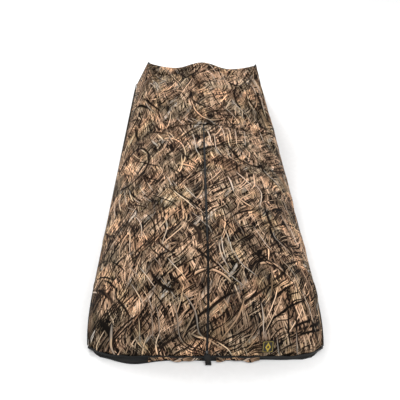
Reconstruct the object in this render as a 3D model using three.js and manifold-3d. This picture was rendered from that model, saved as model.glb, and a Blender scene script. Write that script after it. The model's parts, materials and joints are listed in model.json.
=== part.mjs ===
// Layout field blind: a low folding ground blind for one person lying on their back.
// Millimetres. +Y points to the head end, +X to the right seen from the foot end, +Z up.
// The origin is on the ground, at the middle of the footprint.
import * as THREE from "three";
import { mergeVertices } from "three/addons/utils/BufferGeometryUtils.js";
import Module from "manifold-3d";

const wasm = await Module();
wasm.setup();

// ---- driving dimensions ----
const HALF_LENGTH = 1040;
const GAP = 0.3;
const CLOTH = 4;

const TUBE_R = 12.5;
const RAIL_X = 404;
const RAIL_Z = 30;
const REAR_RAIL_Y = 1008;
const END_RAIL_Y = -955;
const RAIL_BEND = 60;

const FOLD_Z = 56;
const HINGE_NEAR = 14;
const HINGE_FAR = 60;
const HINGE_HALF = 12;
const EAR = 7;
const EAR_R = 11;
const PIN_R = 4;
const PIN_HEAD_R = 7;
const PIN_HEAD = 2;

const FLOOR_HALF = 430;
const FLOOR_CORNER = 70;
const FLOOR_THICK = 4;
const SKIRT_X = 438;
const SKIRT_TOP = 46;

const ARCH_HALF = 432;
const ARCH_BASE = 58;
const ARCH_POWER = 0.58;
const CROWN_HIP = 358;
const CROWN_FOOT = 303;

const HOOP_Y = -745;
const TOE_R = 285;
const HEM_Z = 15;
const TOE_Z = 12;
const TOE_CORNER = 45;

const DOOR_FOOT_Y = -737;
const DOOR_HIP_Y = -9;
const DOOR_AXIS_X = 422;
const DOOR_AXIS_Z = 60;
const ROD_R = 4;
const BOW_DROP = 14;
const SEAM = 10;
const PIPING_R = 2.4;

const COVER_FRONT_Y = 5;
const COVER_FRONT_HALF = 185;
const BAR_Y = 447;
const BAR_Z = 400;
const BAR_HALF = 284;
const BAR_R = 11;
const EDGE_PEAK = 454;
const EDGE_SAG = 421;
const EDGE_CROWN = 464;

const SEAT_BAR_Y = 62;
const SEAT_BAR_Z = 25;
const SEAT_BAR_R = 8;
const BACK_TUBE_X = 262;
const BACK_TUBE_R = 10;
const PROP_X = 240;
const PROP_UP = 380;
const PROP_BEHIND = 16;
const PROP_BEND = 30;

// ---- finishes ----
const FINISH = {
  camo: { color: 0x8a6f4c, roughness: 0.85, metalness: 0 },
  black_cloth: { color: 0x1b1b1c, roughness: 0.9, metalness: 0 },
  floor: { color: 0x232422, roughness: 0.7, metalness: 0 },
  tube: { color: 0x3a3d36, roughness: 0.5, metalness: 0.6 },
  steel: { color: 0x8d8f92, roughness: 0.35, metalness: 1 },
  plastic: { color: 0x1a1a1a, roughness: 0.55, metalness: 0 },
  rubber: { color: 0x141414, roughness: 0.95, metalness: 0 },
  pad: { color: 0x4d4a3c, roughness: 0.9, metalness: 0 },
  label: { color: 0x1d1a14, roughness: 0.8, metalness: 0 },
};

const group = new THREE.Group();

function piece(name, geometry, finish, parent = group) {
  const mesh = new THREE.Mesh(geometry, new THREE.MeshStandardMaterial(FINISH[finish]));
  mesh.name = name;
  parent.add(mesh);
  return mesh;
}

const at = (x, y, z) => new THREE.Vector3(x, y, z);

// ---- shape helpers ----
function box(x0, x1, y0, y1, z0, z1) {
  const g = new THREE.BoxGeometry(x1 - x0, y1 - y0, z1 - z0);
  return g.translate((x0 + x1) / 2, (y0 + y1) / 2, (z0 + z1) / 2);
}

// a straight round bar from a to b
function bar(a, b, radius, sides = 12) {
  const way = b.clone().sub(a);
  const g = new THREE.CylinderGeometry(radius, radius, way.length(), sides);
  g.applyQuaternion(new THREE.Quaternion().setFromUnitVectors(at(0, 1, 0), way.clone().normalize()));
  const mid = a.clone().add(b).multiplyScalar(0.5);
  return g.translate(mid.x, mid.y, mid.z);
}

// a round rod along a curve, with closed ends
function rod(curve, radius, steps, sides = 8) {
  const section = new THREE.Shape();
  for (let i = 0; i < sides; i++) {
    const a = (2 * Math.PI * i) / sides;
    const put = i ? "lineTo" : "moveTo";
    section[put](radius * Math.cos(a), radius * Math.sin(a));
  }
  section.closePath();
  return new THREE.ExtrudeGeometry(section, { steps, extrudePath: curve, bevelEnabled: false });
}

// a straight run, a corner of the given radius and a second run
function corner(a, c, b, radius) {
  const path = new THREE.CurvePath();
  const p = c.clone().add(a.clone().sub(c).setLength(radius));
  const q = c.clone().add(b.clone().sub(c).setLength(radius));
  path.add(new THREE.LineCurve3(a, p));
  path.add(new THREE.QuadraticBezierCurve3(p, c, q));
  if (q.distanceTo(b) > 1) path.add(new THREE.LineCurve3(q, b));
  return path;
}

// a thin closed skin under a grid of points; out is a direction on its outer side
function skin(grid, out, thick = CLOTH) {
  let rows = grid;
  const cross = (g) => {
    const i = Math.floor((g.length - 1) / 2);
    const j = Math.floor((g[0].length - 1) / 2);
    const du = g[i + 1][j].clone().sub(g[i][j]);
    const dv = g[i][j + 1].clone().sub(g[i][j]);
    return du.cross(dv);
  };
  if (cross(rows).dot(out) < 0) rows = [...rows].reverse();
  const m = rows.length;
  const n = rows[0].length;
  const normals = rows.map((row) => row.map(() => at(0, 0, 0)));
  for (let i = 0; i < m - 1; i++) {
    for (let j = 0; j < n - 1; j++) {
      const du = rows[i + 1][j].clone().sub(rows[i][j]);
      const dv = rows[i][j + 1].clone().sub(rows[i][j]);
      const face = du.cross(dv).normalize();
      for (const [a, b] of [[i, j], [i + 1, j], [i + 1, j + 1], [i, j + 1]]) normals[a][b].add(face);
    }
  }
  const outer = rows.flat();
  const inner = rows.map((row, i) => row.map((p, j) => {
    return p.clone().addScaledVector(normals[i][j].normalize(), -thick);
  })).flat();
  const points = [...outer, ...inner];
  const id = (i, j) => i * n + j;
  const under = (k) => k + m * n;
  const faces = [];
  for (let i = 0; i < m - 1; i++) {
    for (let j = 0; j < n - 1; j++) {
      const [a, b, c, d] = [id(i, j), id(i + 1, j), id(i + 1, j + 1), id(i, j + 1)];
      faces.push(a, b, c, a, c, d);
      faces.push(under(a), under(c), under(b), under(a), under(d), under(c));
    }
  }
  const rim = [];
  for (let i = 0; i < m - 1; i++) rim.push([id(i, 0), id(i + 1, 0)]);
  for (let j = 0; j < n - 1; j++) rim.push([id(m - 1, j), id(m - 1, j + 1)]);
  for (let i = m - 1; i > 0; i--) rim.push([id(i, n - 1), id(i - 1, n - 1)]);
  for (let j = n - 1; j > 0; j--) rim.push([id(0, j), id(0, j - 1)]);
  for (const [p, q] of rim) faces.push(q, p, under(p), q, under(p), under(q));
  return solidOf(points, faces);
}

function solidOf(points, faces) {
  const g = new THREE.BufferGeometry();
  g.setAttribute("position", new THREE.Float32BufferAttribute(points.flatMap((p) => p.toArray()), 3));
  g.setIndex(faces);
  return g;
}

// a flat plate over a convex outline, drawn in by inset all round; out is a direction on its outer side
function plate(outline, out, inset = 0, thick = CLOTH) {
  let pts = outline;
  const normalOf = (p) => p[1].clone().sub(p[0]).cross(p[2].clone().sub(p[1])).normalize();
  if (normalOf(pts).dot(out) < 0) pts = [...pts].reverse();
  const n = normalOf(pts);
  const count = pts.length;
  const drawn = pts.map((p, k) => {
    const before = p.clone().sub(pts[(k + count - 1) % count]).normalize();
    const after = pts[(k + 1) % count].clone().sub(p).normalize();
    const inward = n.clone().cross(before).add(n.clone().cross(after));
    const half = inward.length() / 2;
    return p.clone().addScaledVector(inward.normalize(), inset / half);
  });
  const points = [...drawn, ...drawn.map((p) => p.clone().addScaledVector(n, -thick))];
  const faces = [];
  for (let k = 1; k < count - 1; k++) {
    faces.push(0, k, k + 1);
    faces.push(count, count + k + 1, count + k);
  }
  for (let k = 0; k < count; k++) {
    const q = (k + 1) % count;
    faces.push(q, k, count + k, q, count + k, count + q);
  }
  return solidOf(points, faces);
}

// ---- joining and cutting ----
function toSolid(geometry) {
  const g = geometry.clone();
  g.deleteAttribute("normal");
  g.deleteAttribute("uv");
  const merged = mergeVertices(g, 1e-4);
  const vertProperties = new Float32Array(merged.attributes.position.array);
  const triVerts = new Uint32Array(merged.index.array);
  return new wasm.Manifold(new wasm.Mesh({ numProp: 3, vertProperties, triVerts }));
}

function fromSolid(solid) {
  const mesh = solid.getMesh();
  const g = new THREE.BufferGeometry();
  const xyz = [];
  for (let i = 0; i < mesh.vertProperties.length; i += mesh.numProp) {
    xyz.push(mesh.vertProperties[i], mesh.vertProperties[i + 1], mesh.vertProperties[i + 2]);
  }
  g.setAttribute("position", new THREE.Float32BufferAttribute(xyz, 3));
  g.setIndex([...mesh.triVerts]);
  return g;
}

function join(first, ...others) {
  return fromSolid(others.reduce((s, g) => s.add(toSolid(g)), toSolid(first)));
}

function cut(first, ...others) {
  return fromSolid(others.reduce((s, g) => s.subtract(toSolid(g)), toSolid(first)));
}

// ---- the arched section of the cloth ----
function crown(y) {
  return CROWN_HIP + ((CROWN_HIP - CROWN_FOOT) * y) / -HOOP_Y;
}

function arch(x, top) {
  const rest = Math.max(0, 1 - (x / ARCH_HALF) ** 2);
  return ARCH_BASE + (top - ARCH_BASE) * rest ** ARCH_POWER;
}

// a point under the arched cloth, the given depth below it along its normal
function underArch(x, y, top, depth) {
  const near = Math.min(Math.abs(x) + 1, ARCH_HALF);
  const slope = (arch(near, top) - arch(Math.abs(x) - 1, top)) / (near - Math.abs(x) + 1);
  const run = Math.hypot(1, slope);
  const inward = (depth * -slope) / run;
  return at(x - Math.sign(x) * inward, y, arch(x, top) - depth / run);
}

// ---- base frame: two halves that fold at mid length ----
for (const [side, s] of [["left", -1], ["right", 1]]) {
  const x = s * RAIL_X;
  const rearBend = at(x, REAR_RAIL_Y, RAIL_Z);
  const footBend = at(x, END_RAIL_Y, RAIL_Z);
  const inX = s * (RAIL_X - RAIL_BEND);
  const headPath = corner(at(x, HINGE_FAR + GAP, RAIL_Z), rearBend, at(inX, REAR_RAIL_Y, RAIL_Z), RAIL_BEND);
  const footPath = corner(at(x, -HINGE_FAR - GAP, RAIL_Z), footBend, at(inX, END_RAIL_Y, RAIL_Z), RAIL_BEND);
  piece(`head_rail_${side}`, rod(headPath, TUBE_R, 24, 12), "tube");
  piece(`foot_rail_${side}`, rod(footPath, TUBE_R, 24, 12), "tube");
  hinge(side, s);
  // rubber feet cradle the rails from below
  const footTop = RAIL_Z - TUBE_R - GAP;
  const feet = [[`rear_foot_${side}`, 900], [`mid_foot_${side}`, 100], [`toe_foot_${side}`, -880]];
  for (const [name, y] of feet) {
    piece(name, box(x - HINGE_HALF, x + HINGE_HALF, y - 26, y + 26, FLOOR_THICK + GAP, footTop), "rubber");
  }
}

// an offset folding hinge: one ear on the head half between two ears on the foot half
function hinge(side, s) {
  const x = s * RAIL_X;
  const low = RAIL_Z - EAR_R - 3;
  const high = FOLD_Z - EAR_R - 2;
  const ear = (x0, x1, y0, y1) => join(
    box(x0, x1, y0, y1, high - 4, FOLD_Z + EAR_R),
    bar(at(x0, 0, FOLD_Z), at(x1, 0, FOLD_Z), EAR_R, 24),
  );
  const hole = bar(at(x - 40, 0, FOLD_Z), at(x + 40, 0, FOLD_Z), PIN_R + GAP, 24);
  const block = (y0, y1) => box(x - HINGE_HALF, x + HINGE_HALF, y0, y1, low, high);
  const head = join(block(HINGE_NEAR, HINGE_FAR), ear(x - EAR / 2, x + EAR / 2, 0, 40));
  piece(`head_hinge_${side}`, cut(head, hole), "plastic");
  const outer = HINGE_HALF - EAR;
  const foot = join(
    block(-HINGE_FAR, -HINGE_NEAR),
    ear(x - HINGE_HALF, x - outer, -40, 0),
    ear(x + outer, x + HINGE_HALF, -40, 0),
  );
  piece(`foot_hinge_${side}`, cut(foot, hole), "plastic");
  const end = HINGE_HALF + GAP;
  const pin = join(
    bar(at(x - end - 1, 0, FOLD_Z), at(x + end + 1, 0, FOLD_Z), PIN_R, 16),
    bar(at(x - end - PIN_HEAD, 0, FOLD_Z), at(x - end, 0, FOLD_Z), PIN_HEAD_R, 16),
    bar(at(x + end, 0, FOLD_Z), at(x + end + PIN_HEAD, 0, FOLD_Z), PIN_HEAD_R, 16),
  );
  piece(`hinge_pin_${side}`, pin, "steel");
}

const crossEnd = RAIL_X - RAIL_BEND - GAP;
piece("rear_rail", bar(at(-crossEnd, REAR_RAIL_Y, RAIL_Z), at(crossEnd, REAR_RAIL_Y, RAIL_Z), TUBE_R), "tube");
piece("end_rail", bar(at(-crossEnd, END_RAIL_Y, RAIL_Z), at(crossEnd, END_RAIL_Y, RAIL_Z), TUBE_R), "tube");
const seatEnd = RAIL_X - TUBE_R - GAP;
const seatFrom = at(-seatEnd, SEAT_BAR_Y, SEAT_BAR_Z);
const seatTo = at(seatEnd, SEAT_BAR_Y, SEAT_BAR_Z);
piece("seat_bar", bar(seatFrom, seatTo, SEAT_BAR_R), "tube");

// ---- floor, skirts and hem ----
for (const [name, s] of [["head_floor", 1], ["foot_floor", -1]]) {
  const end = s > 0 ? HALF_LENGTH - CLOTH - 2 : HALF_LENGTH;
  const outline = new THREE.Shape();
  outline.moveTo(-FLOOR_HALF, s * 3);
  outline.lineTo(FLOOR_HALF, s * 3);
  outline.lineTo(FLOOR_HALF, s * (end - FLOOR_CORNER));
  outline.quadraticCurveTo(FLOOR_HALF, s * end, FLOOR_HALF - FLOOR_CORNER, s * end);
  outline.lineTo(FLOOR_CORNER - FLOOR_HALF, s * end);
  outline.quadraticCurveTo(-FLOOR_HALF, s * end, -FLOOR_HALF, s * (end - FLOOR_CORNER));
  outline.closePath();
  const slab = { depth: FLOOR_THICK, bevelEnabled: false, curveSegments: 6 };
  piece(name, new THREE.ExtrudeGeometry(outline, slab), "floor");
}
piece("seat_pad", box(-250, 250, -420, -22, FLOOR_THICK + GAP, 26), "pad");
const rearSkirtY = HALF_LENGTH - CLOTH;
piece("rear_skirt", box(-SKIRT_X + 6, SKIRT_X - 6, rearSkirtY, HALF_LENGTH, 2, SKIRT_TOP), "camo");
const hemY = HOOP_Y - TOE_R;
piece("foot_hem", box(-360, 360, hemY - 6, hemY + 1, FLOOR_THICK + GAP, HEM_Z - 1.5), "black_cloth");

function toeReach(x) {
  return TOE_R - TOE_CORNER * (x / ARCH_HALF) ** 8;
}

for (const [side, s] of [["left", -1], ["right", 1]]) {
  const x = s * SKIRT_X;
  const out = at(s, 0, 0);
  const head = [[3, 2], [3, SKIRT_TOP], [HALF_LENGTH - 6, SKIRT_TOP], [HALF_LENGTH - 6, 2]];
  const toe = [15, 40, 65, 85].map((deg) => {
    const a = (deg * Math.PI) / 180;
    return [HOOP_Y - 255 * Math.sin(a), 2 + (SKIRT_TOP - 2) * Math.cos(a)];
  });
  const foot = [[-3, 2], [-3, SKIRT_TOP], [HOOP_Y, SKIRT_TOP], ...toe, [HOOP_Y - 256, 2]];
  piece(`head_skirt_${side}`, plate(head.map(([y, z]) => at(x, y, z)), out), "camo");
  piece(`foot_skirt_${side}`, plate(foot.map(([y, z]) => at(x, y, z)), out), "camo");
}

// ---- foot bag: a quarter-round toe on each side of the zip ----
const toeColumns = [SEAM, 120, 230, 330, 395, ARCH_HALF - 2];
const toeRows = 6;

function toePoint(x, t) {
  const a = (t * Math.PI) / 2;
  const top = arch(x, CROWN_FOOT);
  return [HOOP_Y - toeReach(x) * Math.sin(a), TOE_Z + (top - TOE_Z) * Math.cos(a)];
}

for (const [side, s] of [["left", -1], ["right", 1]]) {
  const grid = [];
  for (let r = 0; r <= toeRows; r++) {
    const t = 0.015 + (0.975 * r) / toeRows;
    grid.push(toeColumns.map((x) => {
      const [y, z] = toePoint(x, t);
      return at(s * x, y, Math.max(z, HEM_Z));
    }));
  }
  piece(`foot_bag_${side}`, skin(grid, at(0, -1, 1)), "camo");
}

const ZIP_HALF = SEAM - 1;
const zipRadius = TOE_R;
const zipRows = [];
for (let r = 0; r <= 8; r++) {
  const a = ((2 + (86 * r) / 8) * Math.PI) / 180;
  const y = HOOP_Y - zipRadius * Math.sin(a);
  const z = TOE_Z + zipRadius * Math.cos(a);
  zipRows.push([at(-ZIP_HALF, y, z), at(ZIP_HALF, y, z)]);
}
piece("foot_zip", skin(zipRows, at(0, -1, 1), 3), "black_cloth");
const sliderY = HOOP_Y - zipRadius;
piece("zip_slider", box(-6, 6, sliderY - 7, sliderY - 1.2, 24, 42), "plastic");
piece("zip_pull", box(-5, 5, sliderY - 7, sliderY - 2, HEM_Z + 1, 23.7), "plastic");

const labelZ = 62;
const label = piece("side_label", new THREE.BoxGeometry(40, 1.5, 50), "label");
const labelX = 211;
const labelReach = toeReach(labelX) + 1.5;
const labelLean = Math.asin((labelZ - TOE_Z) / (arch(labelX, CROWN_FOOT) - TOE_Z));
label.position.set(labelX, HOOP_Y - labelReach * Math.cos(labelLean) - 1.5, labelZ);
label.rotation.x = -labelLean * 1.15;

// ---- foot hoop: a sprung rod under the cloth where the bag begins ----
const hoopDrop = 16;
const hoopPoints = [];
for (let i = 0; i <= 16; i++) {
  const a = Math.PI * (1 - i / 16);
  const x = 398 * Math.cos(a);
  const z = Math.max(48, arch(x, CROWN_FOOT) - hoopDrop * Math.sin(a) - 4);
  hoopPoints.push(at(x, HOOP_Y, i === 0 || i === 16 ? 47 : z));
}
piece("foot_hoop", rod(new THREE.CatmullRomCurve3(hoopPoints), ROD_R, 32, 8), "steel");

// ---- doors ----
const doorColumns = [ARCH_HALF - 1.2, 408, 380, 325, 240, 130, SEAM];
for (const [side, s] of [["left", -1], ["right", 1]]) {
  const row = (y) => doorColumns.map((x) => at(s * x, y, arch(x, crown(y))));
  piece(`door_panel_${side}`, skin([row(DOOR_FOOT_Y), row(DOOR_HIP_Y)], at(0, 0, 1)), "camo");
  const pivot = [at(s * DOOR_AXIS_X, -712, DOOR_AXIS_Z), at(s * DOOR_AXIS_X, -66, DOOR_AXIS_Z)];
  piece(`door_rod_${side}`, bar(...pivot, ROD_R), "steel");
  for (const [name, y] of [["foot", -705], ["hip", -74]]) {
    const top = crown(y);
    const points = [at(s * (DOOR_AXIS_X - 5), y, DOOR_AXIS_Z + 2 * ROD_R + 1)];
    for (const x of [408, 380, 325, 240, 130, 20]) {
      points.push(underArch(s * x, y, top, BOW_DROP));
    }
    piece(`door_bow_${name}_${side}`, rod(new THREE.CatmullRomCurve3(points), ROD_R, 20, 8), "steel");
  }
  const edge = SEAM - 4.4;
  const seamFrom = at(s * edge, DOOR_FOOT_Y + 2, arch(0, crown(DOOR_FOOT_Y)) - 3);
  const seamTo = at(s * edge, DOOR_HIP_Y - 2, arch(0, crown(DOOR_HIP_Y)) - 3);
  piece(`door_piping_${side}`, bar(seamFrom, seamTo, PIPING_R, 8), "black_cloth");
}

// ---- head end cloth ----
const coverX = [-1, -0.85, -0.7, -0.5, -0.32, -0.16, 0, 0.16, 0.32, 0.5, 0.7, 0.85, 1];

// the cloth's top edge hangs between the two corner tips and rises over the headrest
function topEdge(u) {
  const out = Math.abs(u);
  if (out > 0.5) return EDGE_SAG + (EDGE_PEAK - EDGE_SAG) * ((out - 0.5) / 0.5) ** 2;
  return EDGE_SAG + (EDGE_CROWN - EDGE_SAG) * (0.5 + 0.5 * Math.cos(2 * Math.PI * out));
}

const coverBack = coverX.map((u) => at(u * (BAR_HALF + 5), BAR_Y + 5, topEdge(u)));
const coverFront = coverX.map((u) => {
  const x = u * COVER_FRONT_HALF;
  return at(x, COVER_FRONT_Y, arch(x, CROWN_HIP));
});
piece("head_cover", skin([coverFront, coverBack], at(0, 0, 1)), "camo");
const rearTop = coverX.map((u) => at(u * (BAR_HALF + 5), BAR_Y + 14, topEdge(u) - 2));
const rearFoot = coverX.map((u) => at(u * 420, HALF_LENGTH - 8, 50));
piece("rear_panel", skin([rearTop, rearFoot], at(0, 1, 1)), "camo");
for (const [side, s] of [["left", -1], ["right", 1]]) {
  const hip = at(s * (ARCH_HALF + 4), -3, 64);
  const rear = at(s * (ARCH_HALF + 4), HALF_LENGTH - 4, 48);
  const peak = at(s * (BAR_HALF + 12), BAR_Y + 9, EDGE_PEAK + 2);
  const front = at(s * (COVER_FRONT_HALF + 2), -3, arch(COVER_FRONT_HALF, CROWN_HIP));
  piece(`side_panel_${side}`, plate([hip, rear, peak], at(s, 0, 0.4), 7), "camo");
  piece(`hip_panel_${side}`, plate([hip, peak, front], at(s, 0, 1), 7), "camo");
}

// ---- backrest, in its own leaning frame: Y runs up the backrest, Z out of its front ----
const lean = Math.atan2(BAR_Z - SEAT_BAR_Z, BAR_Y - SEAT_BAR_Y);
const backLength = Math.hypot(BAR_Z - SEAT_BAR_Z, BAR_Y - SEAT_BAR_Y);
const backrest = new THREE.Group();
backrest.position.set(0, SEAT_BAR_Y, SEAT_BAR_Z);
backrest.rotation.x = lean;
group.add(backrest);

const tubeEnd = backLength - BAR_R - GAP;
for (const [side, s] of [["left", -1], ["right", 1]]) {
  const x = s * BACK_TUBE_X;
  const sleeve = bar(at(x - 20, 0, 0), at(x + 20, 0, 0), SEAT_BAR_R + 5, 24);
  const bore = bar(at(x - 30, 0, 0), at(x + 30, 0, 0), SEAT_BAR_R + 0.6, 24);
  const tube = bar(at(x, 6, 0), at(x, tubeEnd, 0), BACK_TUBE_R);
  piece(`back_tube_${side}`, cut(join(sleeve, tube), bore), "tube", backrest);
  const tipFoot = at(s * (BAR_HALF - 10), BAR_Y, BAR_Z + BAR_R + 10 * GAP);
  const tipTop = at(s * (BAR_HALF - 3), BAR_Y + 6, EDGE_PEAK - 14);
  piece(`corner_tip_${side}`, bar(tipFoot, tipTop, 7), "plastic");
}
piece("top_bar", bar(at(-BAR_HALF, backLength, 0), at(BAR_HALF, backLength, 0), BAR_R), "tube", backrest);
const padHalf = BACK_TUBE_X - BACK_TUBE_R - 6;
piece("backrest_pad", box(-padHalf, padHalf, 60, 446, -6, 30), "pad", backrest);
piece("headrest", box(-115, 115, 454, 516, 2, 34), "pad", backrest);

// ---- prop: a U-shaped rod behind the backrest, as long as its pivot stands from the seat bar,
// ---- so that its foot stays at floor height while the backrest folds down
const pivotLocal = at(0, PROP_UP, -PROP_BEHIND);
const propPivot = pivotLocal.applyAxisAngle(at(1, 0, 0), lean).add(backrest.position);
const footY = propPivot.y + PROP_UP * Math.cos(lean);
const footZ = propPivot.z - PROP_UP * Math.sin(lean);
const ends = [-PROP_X, PROP_X].map((x) => ({ top: at(x, propPivot.y, propPivot.z), foot: at(x, footY, footZ) }));
const towards = (from, to) => from.clone().add(to.clone().sub(from).setLength(PROP_BEND));
const propPath = new THREE.CurvePath();
const [leftEnd, rightEnd] = ends;
const turns = [
  towards(leftEnd.foot, leftEnd.top),
  towards(leftEnd.foot, rightEnd.foot),
  towards(rightEnd.foot, leftEnd.foot),
  towards(rightEnd.foot, rightEnd.top),
];
propPath.add(new THREE.LineCurve3(leftEnd.top, turns[0]));
propPath.add(new THREE.QuadraticBezierCurve3(turns[0], leftEnd.foot, turns[1]));
propPath.add(new THREE.LineCurve3(turns[1], turns[2]));
propPath.add(new THREE.QuadraticBezierCurve3(turns[2], rightEnd.foot, turns[3]));
propPath.add(new THREE.LineCurve3(turns[3], rightEnd.top));
piece("backrest_prop", rod(propPath, ROD_R, 48, 8), "steel");

export default group;
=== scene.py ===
import json
import math

import bmesh
import bpy
import numpy as np
from mathutils import Matrix, Vector, noise


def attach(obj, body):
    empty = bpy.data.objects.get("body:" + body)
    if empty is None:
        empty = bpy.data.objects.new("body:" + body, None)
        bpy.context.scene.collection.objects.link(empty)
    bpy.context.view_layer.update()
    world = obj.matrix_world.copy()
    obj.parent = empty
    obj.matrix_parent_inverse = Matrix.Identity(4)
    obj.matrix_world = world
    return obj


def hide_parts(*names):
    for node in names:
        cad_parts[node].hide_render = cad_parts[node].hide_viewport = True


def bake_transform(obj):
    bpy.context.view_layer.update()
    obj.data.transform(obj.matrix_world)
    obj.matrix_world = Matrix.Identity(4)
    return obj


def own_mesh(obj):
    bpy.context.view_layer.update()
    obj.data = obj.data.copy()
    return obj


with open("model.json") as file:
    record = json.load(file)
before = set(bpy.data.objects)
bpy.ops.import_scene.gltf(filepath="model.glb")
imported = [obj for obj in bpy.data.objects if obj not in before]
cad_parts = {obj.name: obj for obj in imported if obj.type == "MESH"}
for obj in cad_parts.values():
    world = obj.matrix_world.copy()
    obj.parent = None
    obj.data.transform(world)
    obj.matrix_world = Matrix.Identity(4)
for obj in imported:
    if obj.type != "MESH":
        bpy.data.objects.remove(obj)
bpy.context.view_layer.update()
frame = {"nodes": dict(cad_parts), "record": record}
scene = bpy.context.scene

# ---- driving sizes, in metres ----
RAIL_Z = 0.030
RAIL_X = 0.404
TUBE_R = 0.0125
ROD_R = 0.004
DOOR_AXIS = (0.422, 0.060)
ARCH_HALF = 0.432
ARCH_BASE = 0.058
ARCH_POWER = 0.58
CROWN_HIP = 0.358
CROWN_FOOT = 0.303
HOOP_Y = -0.745
TOE_R = 0.285
TOE_Z = 0.012
TOE_CORNER = 0.034
TOE_TAPER = 0.045
BAR_Y = 0.447
BAR_Z = 0.400
SEAT_BAR = Vector((0, 0.062, 0.025))
EDGE_PEAK = 0.456
EDGE_SAG = 0.430
EDGE_CROWN = 0.464
CLOTH = 0.0014
SEAM_HALF = 0.0027
LEAN = math.atan2(BAR_Z - SEAT_BAR.z, BAR_Y - SEAT_BAR.y)
UPPER_HALF = 0.2925
SKIRT_TOP = 0.0545
SKIRT_HEM = 0.0045
BOW_PLACES = (("foot", -0.705), ("hip", -0.074))
HEAD_RAIL_Y = 1.008
FOOT_RAIL_Y = -0.955
FLOOR_HALF = 0.4295
FLOOR_CORNER = 0.07
SIDES = (("left", -1), ("right", 1))


# ---------------------------------------------------------------- node graphs
class Graph:
    """A material's node tree, with short calls for the nodes that the finishes use."""

    def __init__(self, name):
        self.material = bpy.data.materials.new(name)
        self.material.use_nodes = True
        self.tree = self.material.node_tree
        self.shader = self.tree.nodes["Principled BSDF"]

    def add(self, kind, **settings):
        node = self.tree.nodes.new(kind)
        for key, value in settings.items():
            setattr(node, key, value)
        return node

    def put(self, value, socket):
        if isinstance(value, bpy.types.NodeSocket):
            self.tree.links.new(value, socket)
        else:
            socket.default_value = value

    def math(self, operation, a, b=0.0, clamp=False):
        node = self.add("ShaderNodeMath", operation=operation, use_clamp=clamp)
        self.put(a, node.inputs[0])
        self.put(b, node.inputs[1])
        return node.outputs[0]

    def vector(self, operation, a, b=(0, 0, 0)):
        node = self.add("ShaderNodeVectorMath", operation=operation)
        self.put(a, node.inputs[0])
        self.put(b, node.inputs[1])
        return node.outputs[0]

    def scaled(self, a, scale):
        node = self.add("ShaderNodeVectorMath", operation="SCALE")
        self.put(a, node.inputs[0])
        self.put(scale, node.inputs["Scale"])
        return node.outputs[0]

    def mix(self, factor, a, b, blend="MIX"):
        node = self.add("ShaderNodeMix", data_type="RGBA", blend_type=blend)
        self.put(factor, node.inputs[0])
        self.put(a, node.inputs[6])
        self.put(b, node.inputs[7])
        return node.outputs[2]

    def ramp(self, factor, stops, smooth=False):
        node = self.add("ShaderNodeValToRGB")
        ramp = node.color_ramp
        ramp.interpolation = "EASE" if smooth else "LINEAR"
        while len(ramp.elements) < len(stops):
            ramp.elements.new(0.5)
        for element, (place, colour) in zip(ramp.elements, stops):
            element.position = place
            element.color = (*colour, 1)
        self.put(factor, node.inputs[0])
        return node.outputs[0]

    def step(self, value, low, high, first=0.0, last=1.0):
        node = self.add("ShaderNodeMapRange", interpolation_type="SMOOTHSTEP")
        self.put(value, node.inputs["Value"])
        node.inputs["From Min"].default_value = low
        node.inputs["From Max"].default_value = high
        node.inputs["To Min"].default_value = first
        node.inputs["To Max"].default_value = last
        return node.outputs["Result"]

    def noise(self, vector, scale, detail=2.0, roughness=0.5, distortion=0.0, flat=True):
        node = self.add("ShaderNodeTexNoise", noise_dimensions="2D" if flat else "3D")
        self.put(vector, node.inputs["Vector"])
        node.inputs["Scale"].default_value = scale
        node.inputs["Detail"].default_value = detail
        node.inputs["Roughness"].default_value = roughness
        node.inputs["Distortion"].default_value = distortion
        return node

    def mapping(self, vector, location=(0, 0, 0), turn=0.0, scale=(1, 1, 1)):
        turned = self.add("ShaderNodeMapping")
        self.put(vector, turned.inputs["Vector"])
        turned.inputs["Location"].default_value = location
        turned.inputs["Rotation"].default_value = (0, 0, math.radians(turn))
        stretched = self.add("ShaderNodeMapping")
        self.put(turned.outputs[0], stretched.inputs["Vector"])
        stretched.inputs["Scale"].default_value = scale
        return stretched.outputs[0]

    def cells(self, vector, metric="EUCLIDEAN", scale=1.0):
        node = self.add("ShaderNodeTexVoronoi", voronoi_dimensions="2D", distance=metric)
        self.put(vector, node.inputs["Vector"])
        node.inputs["Scale"].default_value = scale
        node.inputs["Randomness"].default_value = 0.95
        return node

    def parts(self, vector):
        node = self.add("ShaderNodeSeparateXYZ")
        self.put(vector, node.inputs[0])
        return node.outputs

    def channels(self, colour):
        node = self.add("ShaderNodeSeparateColor")
        self.put(colour, node.inputs[0])
        return node.outputs

    def drift(self, vector, scale, detail):
        """A smooth flat displacement with a mean of nought. A colour is never linked to a vector socket:
        the hidden conversions make a long graph too large for the renderer."""
        x, y, _ = self.channels(self.noise(vector, scale, detail).outputs["Color"])
        node = self.add("ShaderNodeCombineXYZ")
        self.put(self.math("SUBTRACT", x, 0.5), node.inputs[0])
        self.put(self.math("SUBTRACT", y, 0.5), node.inputs[1])
        return node.outputs[0]

    def uv(self, name):
        return self.add("ShaderNodeUVMap", uv_map=name).outputs[0]

    def bump(self, height, strength, distance, below=None):
        node = self.add("ShaderNodeBump")
        node.inputs["Strength"].default_value = strength
        node.inputs["Distance"].default_value = distance
        self.put(height, node.inputs["Height"])
        if below is not None:
            self.put(below, node.inputs["Normal"])
        return node.outputs[0]

    def finish(self, colour, roughness, normal=None, metallic=0.0, **constant):
        self.put(colour, self.shader.inputs["Base Color"])
        self.put(roughness, self.shader.inputs["Roughness"])
        self.shader.inputs["Metallic"].default_value = metallic
        if normal is not None:
            self.put(normal, self.shader.inputs["Normal"])
        for key, value in constant.items():
            self.shader.inputs[key.replace("_", " ")].default_value = value
        return self.material


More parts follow.
